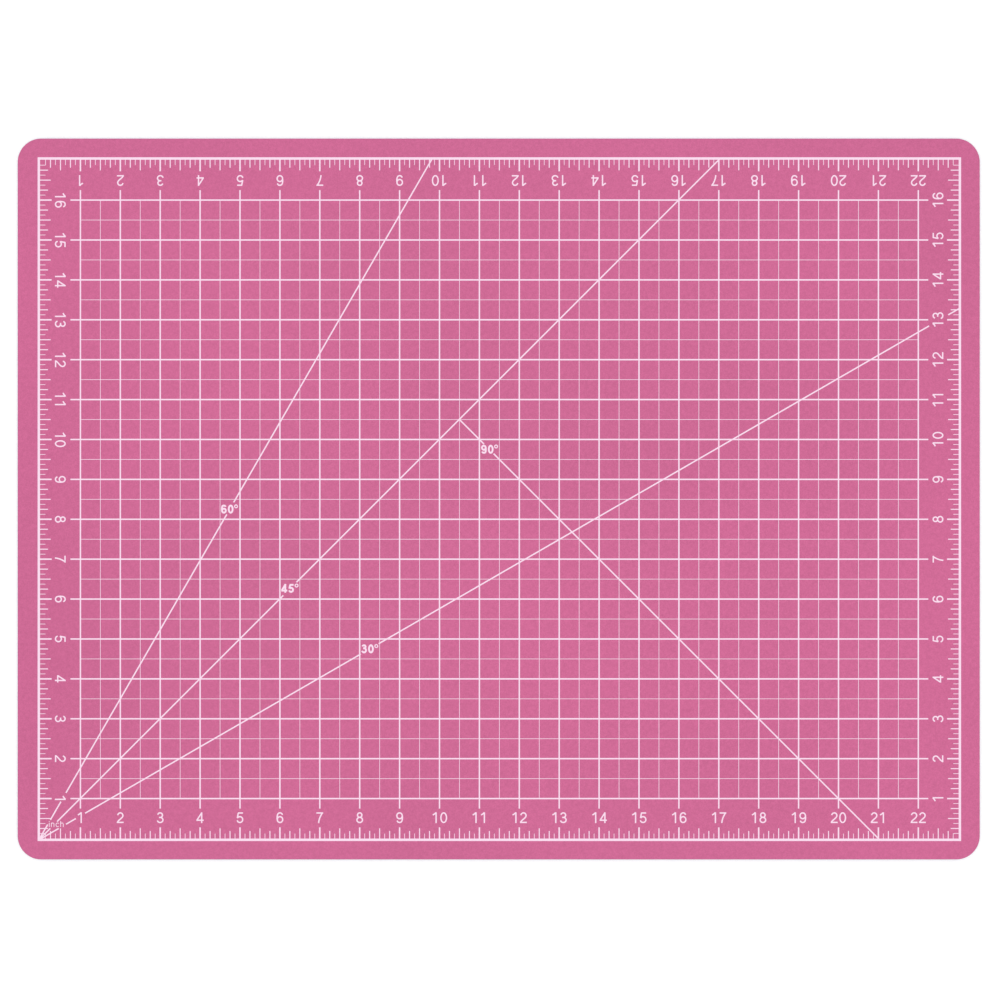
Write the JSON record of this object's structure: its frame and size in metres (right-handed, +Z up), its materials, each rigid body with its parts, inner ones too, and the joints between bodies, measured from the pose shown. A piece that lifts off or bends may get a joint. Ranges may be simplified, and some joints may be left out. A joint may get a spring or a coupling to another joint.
{
  "type": "self healing cutting mat",
  "caption": "Flat rectangular laminated cutting mat with rounded corners, a printed inch grid with edge scales and angle guides on both faces, pink one side and blue the other.",
  "frame": {"origin": "centre of the underside, on the table the mat lies on", "axes": "+X along the long side towards the end of the long scale, +Y along the short side away from the zero corner, +Z up out of the pink face"},
  "size_m": [0.6126, 0.459, 0.003],
  "materials": {
    "white_ink": "screen printed white ink film, matte",
    "pink_pvc": "soft pink cutting sheet, fine matte grain",
    "inner_pvc": "plain pale grey sheet, seen only at the cut edge",
    "core_plastic": "stiff off-white sheet, seen only at the cut edge",
    "blue_pvc": "soft blue cutting sheet, fine matte grain"
  },
  "bodies": {
    "root": {"top_print": "white_ink", "top_face_sheet": "pink_pvc", "upper_inner_sheet": "inner_pvc", "core_sheet": "core_plastic", "lower_inner_sheet": "inner_pvc", "bottom_face_sheet": "blue_pvc", "bottom_print": "white_ink"}
  },
  "joints": []
}
